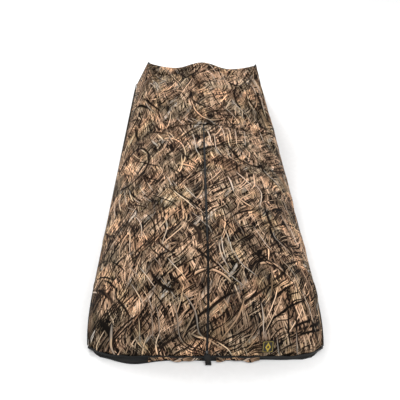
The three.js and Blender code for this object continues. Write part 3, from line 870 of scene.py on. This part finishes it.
def make_floors(m):
    for name, node, body, start, end in (
            ("head_floor_cloth", "head_floor", "head_half", 0.055, 1.033),
            ("foot_floor_cloth", "foot_floor", "foot_half", -0.055, -1.036)):
        ys = np.concatenate([between(start, end * 0.93, 50), end - (end * 0.07) * np.cos(
            between(0, math.pi / 2, 14))[1:]])
        us = between(-1, 1, 60)
        grid = np.array([[(u * floor_half_width(y, end) * toe_taper(y), y, 0.0032) for y in ys] for u in us])
        grid = rumple(grid, 0.0012, 0.12, 23)
        grid[..., 2] = np.maximum(grid[..., 2], 0.0018)
        floor = cloth(name, grid, (0, 0, 1), m["floor"], "floor_fabric", 0.0016)
        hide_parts(node)
        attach(floor, body)
    ys = between(0.060, -0.060, 25)
    grid = np.array([[(u * 0.4288, y, 0.0040) for y in ys] for u in between(-1, 1, 40)])
    gusset = cloth("floor_fold_gusset", grid, (0, 0, 1), m["floor"], "floor_fabric", 0.0012)
    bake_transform(gusset)
    # the floor's front edge shows as a black apron with a ragged lower line, under a camo flap; where it
    # reaches out past the hem onto the ground it is a black sheet of painted shade under the lifted hem
    xs = between(-0.405, 0.392, 110)
    grid = []
    for v in between(0, 1, 8):
        row = []
        for x in xs:
            reach = 0.0075 + 0.002 * math.sin(x * 17 + 1.3) + 0.016 * math.exp(-((x + 0.26) / 0.09) ** 2)
            reach -= 0.008 * abs(x / 0.41) ** 6
            y0 = toe_ground(x, -0.006)
            z = 0.0075 - 0.0048 * v + 0.0012 * math.sin(x * 44 + 5 * v)
            row.append((x * toe_taper(y0), y0 - (0.0085 + reach) * v, z))
        grid.append(row)
    floor_apron_and_shade = cloth("floor_apron_and_painted_shade", grid, (0, 0, 1), m["floor"], "floor_fabric", 0.0014)
    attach(floor_apron_and_shade, "foot_half")
    for side, x0, x1 in (("left", -0.205, -0.016), ("right", 0.034, 0.188)):
        grid = []
        for v in between(0, 1, 8):
            row = []
            for x in between(x0, x1, 40):
                drop = 0.013 + 0.003 * math.sin(x * 52) + 0.002 * math.sin(x * 120 + 2)
                z = 0.0125 - 0.0065 * v + 0.001 * math.sin(x * 70)
                row.append((x, toe_ground(x, 0.002) - drop * v, z))
            grid.append(row)
        flap = camo_cloth(f"toe_flap_{side}", grid, (0, -0.5, 1), m, origin=(0.3, 0.2))
        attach(flap, "foot_half")


PEAK = np.array((0.2935, 0.458, 0.4555))
REAR_CORNER = np.array((0.4305, 1.0335, 0.047))
HIP_Y = -0.0020
COVER_HALF = 0.185


def cone_sheet(base, tip, count, power=1.15, near=0.012):
    """A fan of cloth from a line of base points to a tip, with small triangles kept off the tip."""
    grid = []
    for b in base:
        grid.append([b + (tip - b) * min(t ** (1 / power), 1 - near) for t in between(0, 1, count)])
    return np.array(grid)


def tension_folds(grid, count, depth, reach=0.6):
    """Shallow folds that fan out from the tip of a cone."""
    normals = grid_normals(grid)
    m, n = grid.shape[:2]
    i = np.linspace(0, 1, m)[:, None]
    j = np.linspace(0, 1, n)[None, :]
    wave = np.sin(i * count * 2 * math.pi + 1.5 * np.sin(5 * i)) * j ** 1.5
    wave = wave * np.clip((1 - j) / (1 - reach), 0, 1)
    edge = np.clip(np.minimum(i, 1 - i) / 0.08, 0, 1)
    return grid + normals * (wave * edge * depth)[..., None]


def sink(grid, depth, out):
    """Draws the middle of a stretched cloth in, as tension between its edges does."""
    m, n = grid.shape[:2]
    i = np.sin(np.linspace(0, math.pi, m))[:, None]
    j = np.sin(np.linspace(0, math.pi, n))[None, :]
    return grid - np.array(out) * (depth * i * j)[..., None]


def make_shell(m):
    for side, s in SIDES:
        flip = np.array((s, 1, 1))
        turns = np.linspace(math.radians(89), math.asin((COVER_HALF - 0.010) / ARCH_HALF), 60)
        base = [np.array((ARCH_HALF - 0.0008, HIP_Y, 0.047))]
        for t in turns:
            x, z = arch_at(t, CROWN_HIP)
            base.append(np.array((x, HIP_Y, z - 0.001)))
        grid = cone_sheet(base, PEAK, 54) * flip
        grid = tension_folds(grid, 4, 0.0022)
        grid = rumple(grid, 0.0038, 0.13, 31 + s, 0.08)
        uv = np.stack([grid[..., 0] * 1.15, running(grid, 1)], axis=2)
        hip = camo_cloth(f"hip_cloth_{side}", grid, (s * 0.5, -0.3, 1), m, uv=uv)
        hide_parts(f"hip_panel_{side}")
        settle(hip, "head_half")
        start = np.array((ARCH_HALF - 0.0008, HIP_Y, 0.047))
        base = [start + (REAR_CORNER - start) * t for t in between(0, 1, 60)]
        grid = sink(cone_sheet(base, PEAK, 54), 0.022, (1, 0.1, 0.4)) * flip
        grid = tension_folds(grid, 5, 0.0026)
        grid = rumple(grid, 0.0045, 0.16, 37 + s, 0.08)
        panel = camo_cloth(f"side_cloth_{side}", grid, (s, 0, 0.4), m, origin=(1.1 + s, 0.3))
        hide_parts(f"side_panel_{side}")
        settle(panel, "head_half")
        edge = [tuple((PEAK + (REAR_CORNER - PEAK) * t) * flip) for t in between(0.02, 0.995, 40)]
        seam = tube(f"rear_seam_piping_{side}", edge, 0.0022, m["camo_plain"], 10)
        settle(seam, "head_half")
    us = between(-1, 1, 90)
    grid = []
    for v in between(0, 1, 60):
        row = []
        for u in us:
            top = np.array((u * UPPER_HALF, 0.4600, top_edge(u) - 0.004))
            foot = np.array((u * 0.4300, 1.0335, 0.046))
            row.append(top + (foot - top) * v)
        grid.append(row)
    grid = sink(np.array(grid), 0.030, (0, 0.45, 0.8))
    grid = rumple(grid, 0.0050, 0.17, 43, 0.08)
    rear = camo_cloth("rear_cloth", grid, (0, 0.7, 1), m, origin=(3.0, 1.2))
    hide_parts("rear_panel")
    settle(rear, "head_half")


def cover_point(u, v):
    """A point of the head cover: u across, v from the front lip to the top edge."""
    half = COVER_HALF + (UPPER_HALF - COVER_HALF) * v
    front = np.array((u * COVER_HALF, HIP_Y - 0.010, arch(u * COVER_HALF, CROWN_HIP) + 0.0026))
    back = np.array((u * UPPER_HALF, 0.4560, top_edge(u)))
    p = front + (back - front) * v
    p[0] = u * half
    return p


def make_cover(m):
    us = between(-1, 1, 110)
    vs = np.concatenate([between(0, 0.80, 56), between(0.80, 1.0, 22)[1:]])
    grid = np.array([[cover_point(u, v) for v in vs] for u in us])
    run = (1 - vs)[None, :] * 0.475
    side = np.abs(us)[:, None]
    # cloth held between the corner tips and the headrest is drawn in along the sleeve seam
    crease = np.exp(-((run - 0.046 + 0.010 * np.sin(side * 5)) / 0.0065) ** 2)
    hollow = np.exp(-((run - 0.085) / 0.05) ** 2) * np.clip(side * 1.6 - 0.25, 0, 1)
    swell = np.exp(-((run - 0.020) / 0.018) ** 2)
    rise = -0.017 * crease * np.clip(side * 1.8 - 0.15, 0.15, 1) - 0.010 * hollow + 0.004 * swell
    grid[..., 2] += rise * np.clip((1 - side) / 0.06, 0.15, 1)
    drag = np.sin((side * 3.2 + run * 6) * 2 * math.pi) * np.exp(-(run / 0.16) ** 2) * 0.0024
    grid[..., 2] += drag * np.clip((1 - side) / 0.1, 0, 1) * np.clip(run / 0.02, 0, 1)
    grid = rumple(grid, 0.0052, 0.14, 47, 0.06)
    # over the top edge and a little way down behind, as the sleeve's back
    back = grid[:, -1]
    wrap = [grid]
    for dy, dz in ((0.0022, 0.0008), (0.0048, -0.0008), (0.0062, -0.004), (0.0068, -0.010), (0.0085, -0.020),
                   (0.0125, -0.034)):
        wrap.append((back + np.array((0, dy, dz)))[:, None])
    grid = np.concatenate(wrap, axis=1)
    along = running(grid, 1)
    uv = np.stack([grid[..., 0] * 1.1, along], axis=2)
    cover = camo_cloth("head_cover_cloth", grid, (0, -0.3, 1), m, uv=uv)
    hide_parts("head_cover")
    settle(cover, "head_cover")
    for side, s in SIDES:
        low = Vector((s * 0.2740, 0.4470, 0.4140))
        high = Vector((s * 0.2912, 0.4530, 0.4640))
        line = [low + (high - low) * t for t in between(0, 1, 12)]
        tip = tapered(f"pole_tip_{side}", line, [0.0070] * 8 + [0.0066, 0.0060, 0.0046, 0.0020], m["plastic"])
        fit(tip, f"corner_tip_{side}", "backrest", "tip")


def tapered(name, line, radii, material):
    obj = tube(name, line, 1.0, material, 18)
    for k, p in enumerate(line):
        for v in obj.data.vertices[k * 18:(k + 1) * 18]:
            v.co = Vector(p) + (v.co - Vector(p)) * radii[k]
    return obj


def back_place(x, along, out):
    """A point given in the leaning frame of the backrest."""
    c, s = math.cos(LEAN), math.sin(LEAN)
    return SEAT_BAR + Vector((x, along * c - out * s, along * s + out * c))


def make_frame(m):
    bend = 0.060
    for side, s in SIDES:
        for half, y0, y1 in (("head", 0.0603, HEAD_RAIL_Y), ("foot", -0.0603, FOOT_RAIL_Y)):
            inner = s * (RAIL_X - bend)
            corners = [(s * RAIL_X, y0, RAIL_Z), (s * RAIL_X, y1, RAIL_Z), (inner, y1, RAIL_Z)]
            path = rounded_path(corners, bend - 0.001, 14)
            rail = tube(f"{half}_tube_{side}", path, TUBE_R, m["tube"], 28)
            fit(rail, f"{half}_rail_{side}", f"{half}_half")
    reach = RAIL_X - bend - 0.0003
    for name, node, y, body in (("rear_cross_tube", "rear_rail", HEAD_RAIL_Y, "head_half"),
                                ("end_cross_tube", "end_rail", FOOT_RAIL_Y, "foot_half")):
        cross = tube(name, [(-reach, y, RAIL_Z), (reach, y, RAIL_Z)], TUBE_R, m["tube"], 28)
        fit(cross, node, body)
    seat_line = [(-0.3912, 0.062, 0.025), (0.3912, 0.062, 0.025)]
    seat = tube("seat_cross_tube", seat_line, 0.008, m["tube"], 24)
    fit(seat, "seat_bar", "head_half")
    bar_line = [back_place(x, (Vector((0, BAR_Y, BAR_Z)) - SEAT_BAR).length, 0) for x in (-0.284, 0.284)]
    bar = tube("top_cross_tube", bar_line, 0.011, m["tube"], 28)
    fit(bar, "top_bar", "backrest")
    top = back_place(0, 0.380, -0.016)
    foot = Vector((0, top.y + 0.380 * math.cos(LEAN), top.z - 0.380 * math.sin(LEAN)))
    corners = [(-0.240, top.y, top.z), (-0.240, foot.y, foot.z),
               (0.240, foot.y, foot.z), (0.240, top.y, top.z)]
    prop = tube("backrest_prop_rod", rounded_path(corners, 0.030), ROD_R, m["steel"], 16)
    fit(prop, "backrest_prop", "backrest_prop")
    line = []
    for k in range(33):
        a = math.pi * (1 - k / 32)
        x = 0.398 * math.cos(a)
        z = max(0.048, arch(x, CROWN_FOOT) - 0.016 * math.sin(a) - 0.004)
        line.append((x, HOOP_Y, 0.047 if k in (0, 32) else z))
    hoop = tube("foot_hoop_rod", spline(line, 3), ROD_R, m["steel"], 16)
    fit(hoop, "foot_hoop", "foot_hoop")


def pad(name, node, body, size, place, seams, m, fill):
    """A padded panel: a closed form blown up by a cloth simulation, then drawn in along its sewn channels."""
    width, length, thick = size
    nx, ny = int(width / 0.0075), int(length / 0.0075)
    xs, ys = between(-width / 2, width / 2, nx + 1), between(0, length, ny + 1)
    corner = 0.035
    verts, index = [], {}

    def put(i, j, layer):
        key = (i, j, layer if 0 < i < nx and 0 < j < ny else 0)
        if key not in index:
            x, y = xs[i], ys[j]
            cx = min(max(x, -width / 2 + corner), width / 2 - corner)
            cy = min(max(y, corner), length - corner)
            off = Vector((x - cx, y - cy))
            if off.x and off.y:
                off = off * (max(abs(off.x), abs(off.y)) / off.length)
            rim = min(i, nx - i, j, ny - j)
            lift = thick * (0.5 + (0.0 if key[2] == 0 and rim == 0 else (0.42 if layer else -0.42)
                                   * min(1.0, rim / 3)))
            index[key] = len(verts)
            verts.append((cx + off.x, cy + off.y, lift))
        return index[key]

    faces = []
    for i in range(nx):
        for j in range(ny):
            up = [put(a, b, 1) for a, b in ((i, j), (i + 1, j), (i + 1, j + 1), (i, j + 1))]
            down = [put(a, b, -1) for a, b in ((i, j), (i, j + 1), (i + 1, j + 1), (i + 1, j))]
            faces += [up, down]
    mesh = bpy.data.meshes.new(name)
    mesh.from_pydata(verts, [], faces)
    rest = np.array(verts)
    obj = linked(name, mesh)
    swell(obj, rest)
    co = np.array([v.co for v in obj.data.vertices])
    draw = np.zeros(len(co))
    for axis, at_place, reach in seams:
        d = np.abs(co[:, axis] - at_place)
        draw = np.maximum(draw, np.exp(-(d / reach) ** 2))
    middle = thick * 0.42
    above = np.clip((co[:, 2] - middle) / (thick - middle), 0, 1)
    co[:, 2] -= above * draw * (co[:, 2] - middle) * 0.75
    co[:, 2] = np.clip(co[:, 2], 0.0, thick)
    uvs = co[:, :2].copy()
    obj.data.vertices.foreach_set("co", co.ravel())
    away = np.minimum.reduce([np.abs(uvs[:, 0] - xs[0]), np.abs(uvs[:, 0] - xs[-1]),
                              uvs[:, 1], length - uvs[:, 1]])
    for axis, at_place, _ in seams:
        away = np.minimum(away, np.abs(co[:, axis] - at_place) + 0.006)
    for map_name, values in (("print", uvs), ("edge", np.stack([away, co[:, 0] + co[:, 1]], axis=1))):
        layer = obj.data.uv_layers.new(name=map_name)
        for loop in obj.data.loops:
            layer.data[loop.index].uv = values[loop.vertex_index]
    obj.data.polygons.foreach_set("use_smooth", [True] * len(obj.data.polygons))
    obj.data.transform(place)
    obj.data.materials.append(m["pad"])
    smooth = obj.modifiers.new("smooth", "SUBSURF")
    smooth.levels = smooth.render_levels = 1
    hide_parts(node)
    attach(obj, body)
    rim = [(x, y, thick * 0.5) for x, y in rim_line(width, length, corner)]
    piping = tube(f"{name}_piping", [place @ Vector(p) for p in rim], 0.0028, m["black"],
                  10, closed_ends=False)
    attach(piping, body)


def rim_line(width, length, corner, steps=8):
    points = []
    for cx, cy, start in ((width / 2 - corner, length - corner, 0), (corner - width / 2, length - corner, 90),
                          (corner - width / 2, corner, 180), (width / 2 - corner, corner, 270)):
        for k in range(steps + 1):
            a = math.radians(start + 90 * k / steps)
            points.append((cx + corner * math.cos(a), cy + corner * math.sin(a)))
    return [*points, points[0]]


def swell(obj, rest):
    """Blows the closed form up with Blender's cloth, with no gravity, and keeps each point near its start."""
    sim = obj.modifiers.new("cloth", "CLOTH")
    sim.settings.use_pressure = True
    sim.settings.uniform_pressure_force = 4
    sim.settings.effector_weights.gravity = 0
    sim.settings.quality = 5
    sim.point_cache.frame_start, sim.point_cache.frame_end = 1, 20
    for number in range(1, 21):
        scene.frame_set(number)
    shaped = obj.evaluated_get(bpy.context.evaluated_depsgraph_get())
    co = np.array([v.co for v in shaped.data.vertices])
    obj.modifiers.clear()
    scene.frame_set(1)
    push = np.clip(co - rest, -0.010, 0.010)
    obj.data.vertices.foreach_set("co", (rest + push).ravel())
    obj.data.update()


def make_pads(m):
    floor = Matrix.Translation((0, -0.420, 0.0052))
    pad("seat_cushion", "seat_pad", "foot_half", (0.500, 0.398, 0.0215), floor,
        [(1, 0.100, 0.007), (1, 0.199, 0.007), (1, 0.298, 0.007)], m, 0.6)
    lean = Matrix.Translation(SEAT_BAR) @ Matrix.Rotation(LEAN, 4, "X")
    pad("backrest_cushion", "backrest_pad", "backrest", (0.492, 0.386, 0.036),
        lean @ Matrix.Translation((0, 0.060, -0.006)),
        [(0, -0.123, 0.008), (0, 0.0, 0.008), (0, 0.123, 0.008)], m, 0.7)
    pad("headrest_cushion", "headrest", "backrest", (0.230, 0.062, 0.032),
        lean @ Matrix.Translation((0, 0.454, 0.002)), [], m, 0.8)


def make_label(m):
    """A sewn patch with a plain woven mark, no lettering."""
    def point(x, z, out):
        top = arch(x, CROWN_FOOT)
        down = math.acos((z - TOE_Z) / (top - TOE_Z))
        _, y, _ = toe_at(math.asin(x / ARCH_HALF), down)
        return (x, y - out * math.sin(down), z + out * math.cos(down))
    grid = [[point(x, z, 0.0095) for z in between(0.0455, 0.0945, 12)] for x in between(0.1910, 0.2310, 12)]
    patch = cloth("side_patch", grid, (0, -1, 0.6), m["patch"], "label_fabric", 0.0016)
    fit(patch, "side_label", "foot_half", "foot")


def patch_material():
    """Dark woven patch with a border and a plain reed-shaped mark."""
    g = Graph("woven_patch")
    place = g.uv("print")
    x, y, _ = g.parts(place)
    cx = g.math("ABSOLUTE", g.math("SUBTRACT", x, 0.0200))
    cy = g.math("SUBTRACT", y, 0.026)
    leaf = g.math("ADD", g.math("MULTIPLY", cx, 1.9), g.math("MULTIPLY", g.math("ABSOLUTE", cy), 0.9))
    mark = g.step(leaf, 0.0185, 0.0191, 1.0, 0.0)
    hollow = g.step(leaf, 0.0075, 0.0081, 1.0, 0.0)
    mark = g.math("SUBTRACT", mark, hollow)
    away, _, _ = g.parts(g.uv("edge"))
    border = g.math("MULTIPLY", g.step(away, 0.0028, 0.0031), g.step(away, 0.0042, 0.0045, 1.0, 0.0))
    thread = g.math("MAXIMUM", mark, border)
    rib = g.math("SINE", g.math("MULTIPLY", y, 2 * math.pi / 0.0011))
    ground = g.mix(g.step(rib, -1, 1), (0.010, 0.009, 0.006, 1), (0.022, 0.019, 0.012, 1))
    colour = g.mix(thread, ground, (0.42, 0.30, 0.035, 1))
    height = g.math("ADD", g.math("MULTIPLY", rib, 0.3), thread)
    return g.finish(colour, g.step(rib, -1, 1, 0.75, 0.9), g.bump(height, 0.5, 0.0006))


def make_materials():
    return {
        "camo": camo_material(),
        "backing": woven_material("coated_backing", (0.020, 0.015, 0.009), (0.055, 0.043, 0.028),
                                  800, (0.6, 0.8)),
        "camo_plain": solid_material("camo_piping", (0.03, 0.018, 0.010), (0.22, 0.15, 0.09),
                                     (0.8, 0.95), grain=90.0),
        "black": woven_material("black_binding", (0.003, 0.003, 0.003), (0.013, 0.012, 0.011)),
        "floor": woven_material("coated_floor", (0.003, 0.003, 0.003), (0.014, 0.014, 0.013),
                                500, (0.55, 0.75)),
        "pad": woven_material("padded_nylon", (0.05, 0.046, 0.03), (0.13, 0.12, 0.085), 600),
        "tube": solid_material("powder_coat", (0.022, 0.024, 0.018), (0.05, 0.053, 0.042), (0.4, 0.6),
                               worn=(0.30, 0.30, 0.28)),
        "steel": solid_material("spring_steel", (0.16, 0.16, 0.16), (0.42, 0.42, 0.43), (0.25, 0.5), 1.0),
        "plastic": solid_material("black_nylon", (0.010, 0.010, 0.010), (0.035, 0.035, 0.035), (0.45, 0.7)),
        "rubber": solid_material("rubber", (0.008, 0.008, 0.008), (0.03, 0.03, 0.03), (0.8, 0.95)),
        "patch": patch_material(),
    }


NODE_FINISH = {
    "frame_tube": "tube", "spring_steel": "steel", "hinge_plastic": "plastic", "pin_steel": "steel",
    "foot_rubber": "rubber", "pad_fabric": "pad", "zip_plastic": "plastic", "label_fabric": "black",
    "camo_fabric": "camo", "black_fabric": "black", "floor_fabric": "floor",
}


def finish_nodes(materials):
    """Gives each CAD node that still shows the finish of its slot."""
    slots = {p["node"]: p["material_slot"] for p in frame["record"]["subparts"]}
    for node, obj in frame["nodes"].items():
        obj.data.materials.clear()
        obj.data.materials.append(materials[NODE_FINISH[slots[node]]])
        if node.startswith(("head_hinge", "foot_hinge")):
            bevel = obj.modifiers.new("moulded edges", "BEVEL")
            bevel.width, bevel.segments, bevel.limit_method = 0.0009, 2, "ANGLE"


# ---------------------------------------------------------------- studio
CAMERA_PLACE = (-0.0819, -1.9223, 1.4647)
CAMERA_PITCH = 39.525
CAMERA_ROLL = 2.271
CAMERA_YAW = 2.374
CAMERA_LENS = 41.103


def make_camera():
    data = bpy.data.cameras.new("camera")
    data.sensor_width = 36.0
    data.lens = CAMERA_LENS
    camera = linked("camera", data)
    turn = Matrix.Rotation(-math.radians(CAMERA_YAW), 4, "Z")
    tilt = Matrix.Rotation(math.radians(90 - CAMERA_PITCH), 4, "X")
    roll = Matrix.Rotation(math.radians(CAMERA_ROLL), 4, "Z")
    camera.matrix_world = Matrix.Translation(CAMERA_PLACE) @ turn @ tilt @ roll
    scene.camera = camera


def area_light(name, place, aim, size, power):
    data = bpy.data.lights.new(name, "AREA")
    data.shape = "DISK"
    data.size = size
    data.energy = power
    light = linked(name, data)
    light.location = place
    light.rotation_euler = (Vector(aim) - Vector(place)).to_track_quat("-Z", "Y").to_euler()


def make_studio():
    world = bpy.data.worlds.new("studio")
    world.use_nodes = True
    background = world.node_tree.nodes["Background"]
    background.inputs["Color"].default_value = (1, 1, 1, 1)
    background.inputs["Strength"].default_value = 0.95
    scene.world = world
    scene.view_settings.view_transform = "Standard"
    area_light("key", (-1.5, 1.6, 3.0), (0, 0, 0.2), 1.6, 70)
    area_light("fill", (2.0, -1.0, 2.8), (0, 0, 0.2), 2.4, 30)
    size = 14.0
    mesh = bpy.data.meshes.new("studio_floor")
    corners = [(-size, -size, 0), (size, -size, 0), (size, size, 0), (-size, size, 0)]
    mesh.from_pydata(corners, [], [(0, 1, 2, 3)])
    g = Graph("studio_floor")
    place = g.add("ShaderNodeTexCoord").outputs["Object"]
    paper = g.noise(place, 40.0, 3.0, flat=False).outputs["Fac"]
    tone = g.ramp(paper, [(0.3, (0.90, 0.90, 0.90)), (0.7, (0.93, 0.93, 0.93))])
    mesh.materials.append(g.finish(tone, 0.8))
    linked("studio_floor", mesh)


def main():
    make_camera()
    make_studio()
    m = make_materials()
    finish_nodes(m)
    make_doors(m)
    make_toe(m)
    make_zip(m)
    make_hem(m)
    make_skirts(m)
    make_floors(m)
    make_shell(m)
    make_cover(m)
    make_frame(m)
    make_pads(m)
    make_label(m)


main()
